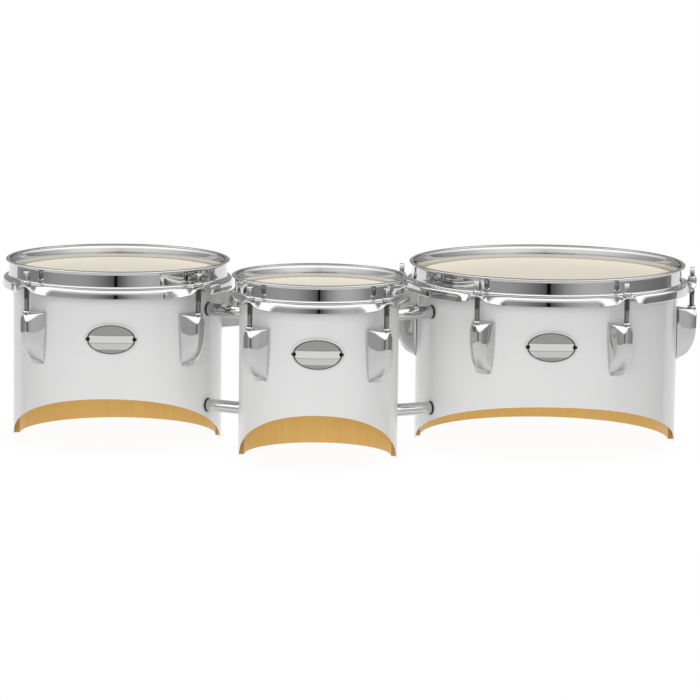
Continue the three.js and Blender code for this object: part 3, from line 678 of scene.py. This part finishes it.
def makeRod(drum, number):
    # thread, shank, washer, collar and square head, each turned about the rod's own axis
    place = rodAxis(drum, number, rodAngle(drum, number) + quarter / 2 * (number % 3))
    low, high = rim - rod["end"], rim - rod["threadTop"]
    sheets = PointSheets()
    # the thread: shank radius less a ridge that climbs one pitch each turn, |fraction(height / pitch - angle) - 1/2|
    rows = int((high - low) / rod["threadPitch"] * rod["threadRows"])
    height = np.linspace(low, high, rows)[:, None]
    wave = np.abs((height / rod["threadPitch"] - allRound(rod["steps"]) / (2 * math.pi)) % 1 - 0.5) * 2
    fade = np.clip((high - height) / rod["fadeTop"], 0, 1) * np.clip((height - low) / rod["fadeEnd"], 0, 1)
    taper = rod["point"] * (1 - np.clip((height - low) / rod["pointLength"], 0, 1))
    sheets.spun(height, rod["shank"] - rod["threadDepth"] * wave * fade - taper, place, capped=True)
    seat, washerTop, collarTop = rim - rod["seat"], rim - rod["washerTop"], rim - rod["collarTop"]
    headTop, w, c, h, e = rim - rod["headDepth"], rod["washer"], rod["collar"], rod["headHalf"], rod["washerEdge"]
    sheets.turned([(high - 0.2, rod["shank"]), (seat + 0.4, rod["shank"])], rod["steps"], place)
    sheets.turned([(seat, w - e), (seat + e, w), (washerTop - e, w), (washerTop, w - e)], 28, place, look=1)
    sheets.turned([(washerTop, c - 0.3), (washerTop + 0.3, c), (collarTop - 1.1, c), (collarTop - 0.45, c - 0.35),
                   (collarTop, c - 1.2)], 28, place, look=2)
    sheets.turned([(collarTop - 0.6, h), (headTop - 1.0, h), (headTop - 0.35, h - 0.3), (headTop, h - 0.9)], 32, place,
                  look=2, radiusAt=squareAt)
    name = f"{drum['name']}_tension_rod_{number}"
    makePiece(f"{drum['name']}KeyRod{number}", sheets, [rodSteel, zinc, chrome], name + "_body",
              [name], rod["sharpAngle"])


# lugs

lug = {"topDepth": 42.7, "height": 50.5, "lean": 2.0, "leanFade": 6, "depth": 19.3, "backHalf": 11.8, "frontHalf": 4.3,
       "edge": 2.2, "bulge": 0.9, "bulgeAt": 0.72, "bends": (0.15, 1.6, 5.0, 2.4), "topRound": 0.9,
       "taper": 0.3, "ridgeTaper": 0.7, "endShare": 0.94, "tip": 0.75, "levels": 44, "crowding": 1.35,
       "profile": [(0, 0.985), (0.15, 1.0), (0.38, 0.99), (0.56, 0.935), (0.70, 0.83), (0.82, 0.67), (0.90, 0.50),
                   (1.0, 0.06)],
       "keyHeight": 9.5, "keySlope": 0.34, "keyStart": 0.24, "keyCut": 0.97,
       "nut": 4.3, "nutRise": 3.6, "bore": 2.8,
       "screws": (55.0, 80.0), "screwHead": 4.0, "screwHeadHeight": 3.0, "screwShank": 2.4,
       "sharpAngle": 38}


def lugLoop(t, inset, drop):
    # plan outline at share t of the height: deep by the softened profile, half a width that tapers by a share t^2.2
    profile = softLine(np.array(lug["profile"]), 0.05, 5, hold=0.004)
    deep = np.interp(t, profile[:, 0], profile[:, 1])
    past = np.maximum(t - lug["endShare"], 0) / (1 - lug["endShare"])
    ending = np.sqrt(1 - (1 - lug["tip"] ** 2) * past ** 2)
    half = lug["backHalf"] * (1 - lug["taper"] * t ** 2.2) * ending - inset
    front = lug["frontHalf"] * (1 - lug["ridgeTaper"] * t ** 4) - inset * 0.5
    depth, edge = lug["depth"] * deep - inset, lug["edge"] * deep
    bulge = lug["bulge"] * (1 + t) * deep
    belly = lug["bulgeAt"]
    midAcross, midOut = half + (front - half) * belly + bulge, edge + (depth - edge) * belly
    side = [(half, 0 * t), (half, edge), (midAcross, midOut), (front, depth)]
    loop = [np.stack(p, -1) for p in side] + [np.stack((-p[0], p[1]), -1) for p in side[::-1]]
    soft = np.stack([np.full_like(t, r) for r in (*lug["bends"], *lug["bends"][::-1])], -1)
    loop = softLine(np.stack(loop, -2), soft * np.clip(deep[:, None] * 1.3, 0.2, 1), 6, closed=True)
    # a facet on each flank, tallest at the ridge: the flank's line draws in by slope * (height * toRidge - drop)
    u = np.clip((loop[..., 1] - edge[:, None]) / (depth - edge)[:, None], 0, 1)
    bellied = bulge[:, None] * np.minimum(u / belly, (1 - u) / (1 - belly))
    line = half[:, None] + (front - half)[:, None] * u + bellied
    toRidge = (u - lug["keyStart"]) / (1 - lug["keyStart"])
    limit = line - lug["keySlope"] * np.maximum(lug["keyHeight"] * toRidge - drop[:, None], 0)
    over = np.maximum(np.abs(loop[..., 0]) - limit, 0)
    loop[..., 0] -= lug["keyCut"] * over * np.sign(loop[..., 0])
    return loop


def makeLug(drum, number):
    # the plan outlines stacked from a rounded top edge to the foot, each no nearer than the shell behind it
    angle, soft = rodAngle(drum, number), lug["topRound"]
    origin, outward, sideways = outwardAxis(drum, angle, 0.0)
    roundTurn = np.array([0.0, 0.25, 0.5, 0.75]) * quarter
    t = np.concatenate([0 * roundTurn, 1 - (1 - np.linspace(0, 1, lug["levels"])) ** lug["crowding"]])
    inset = np.concatenate([soft * (1 - np.sin(roundTurn)), np.zeros(lug["levels"])])
    drop = t * (lug["height"] - soft) + np.concatenate([soft * (1 - np.cos(roundTurn)), np.full(lug["levels"], soft)])
    loop = lugLoop(t, inset, drop)
    across, out = loop[..., 0], loop[..., 1]
    lean = lug["lean"] / lug["depth"] * np.clip(1 - t[:, None] * lug["leanFade"], 0, 1)
    reach = np.maximum(drum["radius"] + out, np.sqrt((drum["radius"] + gap) ** 2 - across ** 2))
    points = origin + reach[..., None] * outward + across[..., None] * sideways
    points[..., 2] += rim - lug["topDepth"] - drop[:, None] - out * lean
    sheets = PointSheets()
    sheets.grid(points, wrapColumns=True, capped=True)
    top = rim - lug["topDepth"] + lug["nutRise"] - lug["lean"]
    n, b = lug["nut"], lug["bore"]
    sheets.turned([(top - 8, n), (top - 2.9, n), (top - 2.6, n - 0.45), (top - 2.2, n - 0.45), (top - 1.9, n),
                   (top - 1.2, n), (top - 0.5, n - 0.35), (top - 0.1, n - 0.95), (top, b + 0.25), (top - 0.3, b),
                   (top - 8, b)], 32, rodAxis(drum, number), closed=True)
    for depth in lug["screws"]:
        place = outwardAxis(drum, angle, rim - depth)
        s, h = lug["screwHead"], lug["screwHeadHeight"]
        face = seatInside(drum, s)
        sheets.turned([(face - h, s * 0.35), (face - h, s * 0.62), (face - h + 0.5, s * 0.85), (face - 1.2, s),
                       (face, s)], 24, place, look=1)
        sheets.turned([(face - 0.2, lug["screwShank"]), (drum["radius"] + 1, lug["screwShank"])], 12, place, look=1)
    name = f"{drum['name']}_lug_{number}"
    makePiece(f"{drum['name']}CastLug{number}", sheets, [chrome, zinc], "drum_set", [name],
              lug["sharpAngle"])


# badges

def makeBadge(drum):
    # an oval in polar rings, x = width/2 * share * cos, z = height/2 * share * sin, bent to the shell's front
    steps, w, h = badge["steps"], badge["width"] / 2, badge["height"] / 2
    inner = 1 - badge["rimWidth"] / h
    share = np.array([0.02, 0.25, 0.5, 0.75, inner - 0.04, inner - 0.015, inner, inner + 0.02,
                      0.96, 0.985, 1.0, 1.0, 0.98])
    lift = badge["thickness"] + badge["rimRise"] * np.array([0, 0, 0, 0, 0, 0.1, 0.6, 0.95, 1.0, 0.8, 0.3, 0, 0])
    lift[-2:] = (0.15, 0.0)
    turn = np.arange(steps + 1) * 2 * math.pi / steps
    x = w * share[:, None] * np.cos(turn)
    z = h * share[:, None] * np.sin(turn)
    points = around(drum, drum["radius"] + gap + lift[:, None], x / drum["radius"], rim - badge["depth"] + z)
    sheets = PointSheets()
    sheets.grid(points[:, :-1], wrapColumns=True, capped=True)
    r, c = cells(len(share) - 1, steps)
    corner = [(r, c), (r, c + 1), (r + 1, c + 1), (r + 1, c)]  # its finish reads millimetres from the middle
    sheets.corners[0] = np.stack([np.stack([x[i, j], z[i, j]], -1) for i, j in corner], 1).reshape(-1, 2)
    for way in (-1, 1):
        place = outwardAxis(drum, way * badge["studReach"] / drum["radius"], rim - badge["depth"])
        face, s = drum["radius"] + gap + badge["thickness"], badge["stud"]
        sheets.turned([(face - 0.3, s), (face + 0.25, s), (face + 0.5, s * 0.7), (face + 0.58, s * 0.25)], 20, place,
                      look=1)
    makePiece(drum["name"] + "OvalBadge", sheets, [badgeMetal, studMetal], "drum_set",
              [drum["name"] + "_badge"], badge["sharpAngle"])


# joining tubes with their gaskets and end bolts

tube = {"radius": 6.0, "steps": 48, "gasket": 6.6, "gasketThickness": 1.5, "gasketSteps": 40, "bolt": 3.0,
        "boltHead": 5.0, "boltHeadHeight": 4.0, "washer": 7.5, "washerThickness": 1.2,
        "sharpAngle": 35, "gasketSharpAngle": 40}


def hexAt(angles):
    # a hexagon of unit flat-to-centre distance: 1 / cos of the angle from the nearest flat
    return 1 / np.cos((angles + math.pi / 6) % (math.pi / 3) - math.pi / 6)


def insideBolt(sheets, place, drum):
    # washer and hexagon head against the inner wall, on an axis that points out through it
    face = seatInside(drum, tube["washer"])
    washerFace, headFace = face - tube["washerThickness"], face - tube["washerThickness"] - tube["boltHeadHeight"]
    w, b = tube["washer"], tube["boltHead"]
    sheets.turned([(washerFace, w - 0.25), (washerFace + 0.25, w), (face - 0.2, w), (face, w - 0.2)], 32, place, look=1)
    sheets.turned([(headFace, b * 0.80), (headFace + 0.5, b * 0.91), (washerFace, b * 0.91)], 36, place, look=1,
                  radiusAt=hexAt)
    sheets.turned([(face - 0.5, tube["bolt"]), (drum["radius"] + 3, tube["bolt"])], 16, place, look=1)


def makeSaddle(name, node, drum, place):
    # a ring whose foot follows the shell, sqrt(radius^2 - across^2) along its axis, and whose face is level: each
    # corner of its section is (reach from the axis, rise over the shell, depth under the face)
    bore, edge, face = tube["bolt"] + gap, tube["gasket"], drum["radius"] + tube["gasketThickness"]
    ring = np.array([(bore, 0, 0), (edge - 0.3, 0, 0), (edge, 0.25, 0.3), (edge, math.inf, 0.3),
                     (edge - 0.4, math.inf, 0), (bore, math.inf, 0)])
    reach, rise, depth = ring.T[:, :, None]
    turn = allRound(tube["gasketSteps"])
    foot = np.sqrt((drum["radius"] + gap) ** 2 - (reach * np.cos(turn)) ** 2)
    sheets = PointSheets()
    sheets.spun(np.minimum(foot + rise, face - depth), reach * np.ones_like(turn), place, wrapRows=True)
    makePiece(name, sheets, [rubber], "drum_set", [node], tube["gasketSharpAngle"])


def makeTube(side, level):
    # a plain tube turned about the line between two drums' axes, from one shell's gasket to the other's
    a, b = drums["middle"], drums[side]
    low, high = (np.array(corner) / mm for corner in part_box(f"{side}_{level}_tube_inner_gasket"))
    height = (low[2] + high[2]) / 2
    facing = bearing(a, b)
    place, back = outwardAxis(a, facing, height), outwardAxis(b, facing + math.pi, height)
    start = a["radius"] + tube["gasketThickness"] + gap
    stop = np.linalg.norm(b["centre"] - a["centre"]) - b["radius"] - tube["gasketThickness"] - gap
    sheets = PointSheets()
    r = tube["radius"]
    sheets.turned([(start, r - 0.5), (start + 0.15, r - 0.15), (start + 0.5, r),
                   *((start + (stop - start) * share, r) for share in (0.25, 0.5, 0.75)),
                   (stop - 0.5, r), (stop - 0.15, r - 0.15), (stop, r - 0.5)], tube["steps"], place)
    insideBolt(sheets, place, a)
    insideBolt(sheets, back, b)
    makePiece(f"{side}{level.capitalize()}JoinTube", sheets, [chrome, zinc], "drum_set",
              [f"{side}_{level}_tube"], tube["sharpAngle"])
    for end, drum, axis in (("inner", a, place), ("outer", b, back)):
        makeSaddle(f"{side}{level.capitalize()}Saddle{end.capitalize()}", f"{side}_{level}_tube_{end}_gasket",
                   drum, axis)


# carrier bracket

bar = {"height": 36.0, "topDepth": 39.8, "sheet": 3.0, "edge": 0.8, "rearward": 205.0, "armAngle": math.radians(33),
       "bend": 14.0, "bendSteps": 12, "flange": 30.0, "flangeSteps": 15, "slotWidth": 8.5, "slotHeight": 20.0,
       "slotSpacing": 70.0, "slotSteps": 48, "boltSpacing": 20.0, "bolt": 2.4, "boltHead": 4.0,
       "boltHeadHeight": 3.0, "nut": 3.9, "nutHeight": 4.0, "sharpAngle": 35}


def barEnd(drum, side):
    # flange points wrapped on the shell, then the arm's far end on the rear line
    radius = drum["radius"] + gap + bar["sheet"] / 2
    root = -side * (quarter + bar["armAngle"])
    sweep = side * bar["flange"] / radius * np.linspace(1, 0, bar["flangeSteps"])
    flange = around(drum, radius, root + sweep, 0)[:, :2]
    rear = bar["rearward"] + drums["middle"]["centre"][1]
    reach = (rear - flange[-1, 1]) / math.tan(bar["armAngle"])
    return flange, np.array([flange[-1, 0] - side * reach, rear])


def makeBar():
    # the flanges, arms and rear flat as one path seen from above, with the bar's upright section carried along it
    leftFlange, leftBend = barEnd(drums["left"], -1)
    rightFlange, rightBend = barEnd(drums["right"], 1)
    plan = softLine(np.array([leftFlange[-1], leftBend, rightBend, rightFlange[-1]]), bar["bend"], bar["bendSteps"])
    path = np.concatenate([leftFlange[:-1], plan, rightFlange[-2::-1]])
    path = path[np.append(True, np.linalg.norm(np.diff(path, axis=0), axis=1) > 0.01)]  # no point twice
    along = np.gradient(path, axis=0)
    along /= np.linalg.norm(along, axis=1, keepdims=True)
    normal = np.stack([-along[:, 1], along[:, 0]], 1)
    half, tall = bar["sheet"] / 2, bar["height"] / 2
    corner = softLine(np.array([[half, -tall], [half, tall], [-half, tall], [-half, -tall]]), bar["edge"], 5,
                      closed=True)
    middle = rim - bar["topDepth"] - tall
    points = np.zeros((len(path), len(corner), 3))
    points[..., :2] = path[:, None] + normal[:, None] * corner[None, :, :1]
    points[..., 2] = middle + corner[:, 1]
    sheets = PointSheets()
    sheets.grid(points, wrapColumns=True, capped=True)
    piece = makePiece("carrierBar", sheets, [barSteel], "drum_set", ["carrier_bracket"], bar["sharpAngle"])
    cutters = PointSheets()
    turn, radius = allRound(bar["slotSteps"]), bar["slotWidth"] / 2
    z = middle + radius * np.sin(turn) + (bar["slotHeight"] / 2 - radius) * np.sign(np.sin(turn) + 1e-9)
    for way in (-1, 1):
        x = (leftBend[0] + rightBend[0]) / 2 + way * bar["slotSpacing"] / 2 + radius * np.cos(turn)
        ends = [np.full_like(x, leftBend[1] + side * 2 * bar["sheet"]) for side in (-1, 1)]
        cutters.grid(np.stack([np.stack([x, y, z], -1) for y in ends]), wrapColumns=True, capped=True)
    cutter = makePiece("slotCutter", cutters, [barSteel], "drum_set")
    cut = piece.modifiers.new("slots", "BOOLEAN")
    cut.object, cut.operation, cut.solver = cutter, "DIFFERENCE", "EXACT"
    bpy.context.view_layer.update()
    finished = bpy.data.meshes.new_from_object(piece.evaluated_get(bpy.context.evaluated_depsgraph_get()))
    piece.modifiers.clear()
    piece.data = finished
    bpy.data.objects.remove(cutter)
    finished.set_sharp_from_angle(angle=math.radians(bar["sharpAngle"]))
    bolts = PointSheets()
    for name, side in (("left", -1), ("right", 1)):
        drum = drums[name]
        angle = -side * (quarter + bar["armAngle"] - bar["flange"] / 2 / (drum["radius"] + gap))
        for way in (-1, 1):
            place = outwardAxis(drum, angle, middle + way * bar["boltSpacing"] / 2)
            inner, face = seatInside(drum, bar["boltHead"]), drum["radius"] + gap + bar["sheet"]
            head, nutTop = inner - bar["boltHeadHeight"], face + bar["nutHeight"]
            s, b, n = bar["boltHead"], bar["bolt"], bar["nut"]
            bolts.turned([(head, s * 0.4), (head + 0.4, s * 0.8), (inner - 1, s), (inner, s)], 24, place)
            bolts.turned([(inner - 0.2, b), (nutTop - 0.05, b), (nutTop - 0.05, b - 0.6)], 16, place)
            bolts.turned([(face - 0.3, n), (nutTop - 0.8, n), (nutTop - 0.3, n * 0.9)], 36, place, radiusAt=hexAt)
    makePiece("carrierBarBolts", bolts, [zinc], "drum_set")


# build

for drumName, drum in drums.items():
    makeShell(drum)
    makeDrumhead(drum)
    makeHoop(drum)
    makeBadge(drum)
    for rodNumber in range(1, drum["rods"] + 1):
        makeRod(drum, rodNumber)
        makeLug(drum, rodNumber)
    print(drumName, "drum built")
for tubeSide in ("left", "right"):
    for tubeLevel in ("upper", "lower"):
        makeTube(tubeSide, tubeLevel)
makeBar()


# floor, light and camera

studio = {"floorRadius": 860, "floorSteps": 160, "floorTone": (0.80, 0.80, 0.80), "floorLit": 0.5, "floorBounce": 0.60,
          "floorGlow": 0.95, "floorShadow": 0.08, "shadowFade": (0.45, 0.80), "ambient": 0.28}

# tones that metal mirrors, as (degrees round from the front, share of white)
screen = {"reach": 11000, "height": 120, "half": 128.0, "frontLow": -89.0, "rearLow": 2.0,
          "steps": (121, 25), "blur": 0.3, "seam": (0.4, 0.6),
          "tones": [(-128, 0.40), (-112, 0.30), (-86, 0.31), (-78, 0.35), (-70, 0.42), (-60, 0.44), (-50, 0.46),
                    (-38, 0.45), (-30, 0.42), (-24, 0.37), (-18, 0.31), (-12, 0.24), (-6, 0.165), (-2.2, 0.12),
                    (-0.9, 0.004), (1.3, 0.004), (2.6, 0.12), (5, 0.15), (7.5, 0.21), (10, 0.26), (14, 0.37),
                    (20, 0.46), (28, 0.58), (36, 0.62), (44, 0.61), (50, 0.56), (57, 0.50), (65, 0.38),
                    (73, 0.32), (95, 0.26), (116, 0.20), (128, 0.34)],
          "floorTones": [(-90, 0.44), (-72, 0.52), (-56, 0.70), (-40, 0.90), (-26, 0.92), (-12, 0.80)],
          "floorEdge": -11.8, "boxStart": 0.0, "boxLow": 24.0, "boxHigh": 53.0, "boxTone": 1.7,
          "hoodLow": 76.0, "hoodTone": 0.36}


def rayMix(tree, plain, seen):
    # the second shader for camera, mirrored and transmitted rays, the first for all others
    camera, mirrored, through = (tree.add("ShaderNodeLightPath", output=name) for name in
                                 ("Is Camera Ray", "Is Glossy Ray", "Is Transmission Ray"))
    return tree.add("ShaderNodeMixShader", None, {0: camera.larger(mirrored).larger(through), 1: plain, 2: seen})


def stageObject(name, build, sheets):
    # a piece of the studio with a material of its own, which stays out of the part
    mesh = sheets.mesh(name)
    staged = bpy.data.objects.new(name, mesh)
    scene.collection.objects.link(staged)
    look = bpy.data.materials.new(name)
    look.use_nodes = True
    tree = ShadeTree(look.node_tree)
    tree.add("ShaderNodeOutputMaterial", None, {"Surface": build(tree)})
    mesh.materials.append(look)
    return staged


def shadeFloor(tree):
    # white to the camera and to mirrors but for a faint shadow, which fades out towards the edge
    tone = studio["floorTone"]
    plain, shaded = (tree.add("ShaderNodeAddShader", None,
                              {0: tree.diffuse(tone, studio[own]), 1: tree.emission(studio[light])})
                     for own, light in (("floorLit", "floorBounce"), ("floorShadow", "floorGlow")))
    reach = tree.add("ShaderNodeVectorMath", {"operation": "LENGTH"},
                     {0: tree.add("ShaderNodeTexCoord", output="Object")}, output="Value")
    fade = reach.step(*studio["shadowFade"])
    return rayMix(tree, plain, tree.add("ShaderNodeMixShader", None, {0: fade, 1: shaded, 2: tree.emission(1.0)}))


def shadeScreen(tree):
    # the pale floor, grey screens round the front, which brighten into a strip over them, and a grey hood above and
    # behind, all by direction
    x, y, z = tree.parts(tree.add("ShaderNodeTexCoord", output="Object"))
    turn = x.maths("ARCTAN2", x, y * -1) * (180 / math.pi)
    rise = z.maths("ARCTAN2", z, (x * x + y * y) ** 0.5) * (180 / math.pi)
    half, edge, blur = screen["half"], screen["floorEdge"], screen["blur"]

    def ramp(degrees, low, span, tones):
        # a grey for each angle in a span of degrees from the lowest
        stops = [((angle - low) / span, (tone,) * 3) for angle, tone in tones]
        return tree.add("ShaderNodeValToRGB", {"stops": stops}, {0: (degrees - low) / span})

    front = tree.mix(rise.step(edge - blur, edge + blur), ramp(rise, -90, 90, screen["floorTones"]),
                     ramp(turn, -half, 2 * half, screen["tones"]))
    sky = rise.step(screen["boxHigh"], screen["hoodLow"], screen["boxTone"], screen["hoodTone"])
    colour = tree.mix(rise.step(screen["boxStart"], screen["boxLow"]), front, sky)
    seamStart, seamStop = (half + past for past in screen["seam"])
    colour = tree.mix(turn.size().step(seamStart, seamStop), colour, (screen["hoodTone"],) * 3)
    return tree.add("ShaderNodeEmission", None, {"Color": colour, "Strength": 1.0})


def makeStage():
    # a round floor, and screens as patches of a ball: reach * (cos up * sin across, -cos up * cos across, sin up)
    turn, r = allRound(studio["floorSteps"]), studio["floorRadius"]
    disc, patches = PointSheets(), PointSheets()
    disc.cap(np.stack([r * np.cos(turn), r * np.sin(turn), 0 * turn], -1))
    floor = stageObject("paleFloor", shadeFloor, disc)
    floor.visible_glossy = False  # the screens hold the floor that metal mirrors
    half, (columns, rows) = screen["half"], screen["steps"]
    for west, east, low in ((-half, half, screen["frontLow"]), (half + 1, 359 - half, screen["rearLow"])):
        across, up = np.meshgrid(np.radians(np.linspace(west, east, columns)), np.radians(np.linspace(low, 90, rows)))
        patch = np.stack([np.cos(up) * np.sin(across), -np.cos(up) * np.cos(across), np.sin(up)], -1)
        patches.grid(patch * screen["reach"])
    tent = stageObject("greyScreens", shadeScreen, patches)
    tent.location.z = screen["height"] * mm
    tent.visible_camera = tent.visible_diffuse = tent.visible_transmission = tent.visible_shadow = False


def makeWorld():
    # white behind everything for camera, mirrored and transmitted rays, an even grey light for the rest
    world = bpy.data.worlds.new("studio")
    scene.world = world
    world.use_nodes = True
    tree = ShadeTree(world.node_tree)
    plain = tree.add("ShaderNodeBackground", None, {"Color": (1, 1, 1, 1), "Strength": studio["ambient"]})
    white = tree.add("ShaderNodeBackground", None, {"Color": (1, 1, 1, 1), "Strength": 1.0})
    tree.add("ShaderNodeOutputWorld", None, {"Surface": rayMix(tree, plain, white)})


lamps = [{"name": "frontSoftbox", "from": (-0.7, -2.8, 1.3), "at": (0, 0, 0.08), "size": 1.4, "watts": 18},
         {"name": "lowSoftbox", "from": (0.0, -3.2, 0.42), "at": (0, 0, 0.05), "size": 0.7, "watts": 13},
         {"name": "topSoftbox", "from": (0.1, 0.2, 2.2), "at": (0, 0, 0.1), "size": 1.8, "watts": 33}]


def makeLamps():
    # square lamps turned to what they light, which neither the camera nor metal sees
    for lamp in lamps:
        data = bpy.data.lights.new(lamp["name"], "AREA")
        data.shape, data.size, data.energy = "SQUARE", lamp["size"], lamp["watts"]
        light = bpy.data.objects.new(lamp["name"], data)
        light.location = lamp["from"]
        aim = Vector(lamp["at"]) - Vector(lamp["from"])
        light.rotation_euler = aim.to_track_quat("-Z", "Y").to_euler()
        light.visible_glossy = False
        light.visible_camera = False
        scene.collection.objects.link(light)


view = {"distance": 3.781, "azimuth": 0.77, "elevation": 8.79, "roll": 0.64, "lens": 207.7,
        "right": 0.02935, "up": 0.00985, "height": 0.09, "sensor": 36, "clip": (0.1, 50)}


def makeCamera():
    # stands back from the middle drum's axis and is aimed a little beside it, as in the photograph
    a, e, r = (math.radians(view[key]) for key in ("azimuth", "elevation", "roll"))
    back = Vector((math.sin(a) * math.cos(e), -math.cos(a) * math.cos(e), math.sin(e)))
    level = Vector((math.cos(a), math.sin(a), 0))
    above = back.cross(level)
    right = level * math.cos(r) + above * math.sin(r)
    up = above * math.cos(r) - level * math.sin(r)
    x, y = drums["middle"]["centre"] * mm
    target = Vector((x, y, view["height"]))
    camera = bpy.data.objects.new("camera", bpy.data.cameras.new("camera"))
    camera.data.lens, camera.data.sensor_width = view["lens"], view["sensor"]
    camera.location = target + back * view["distance"]
    away = (camera.location - target - right * view["right"] - up * view["up"]).normalized()
    side = up.cross(away).normalized()
    turned = Matrix((side, away.cross(side), away)).transposed()
    camera.rotation_euler = turned.to_euler()
    camera.data.clip_start, camera.data.clip_end = view["clip"]
    scene.collection.objects.link(camera)
    scene.camera = camera


makeStage()
makeWorld()
makeLamps()
makeCamera()
scene.view_settings.view_transform = "Standard"
print("stage, light and camera ready")
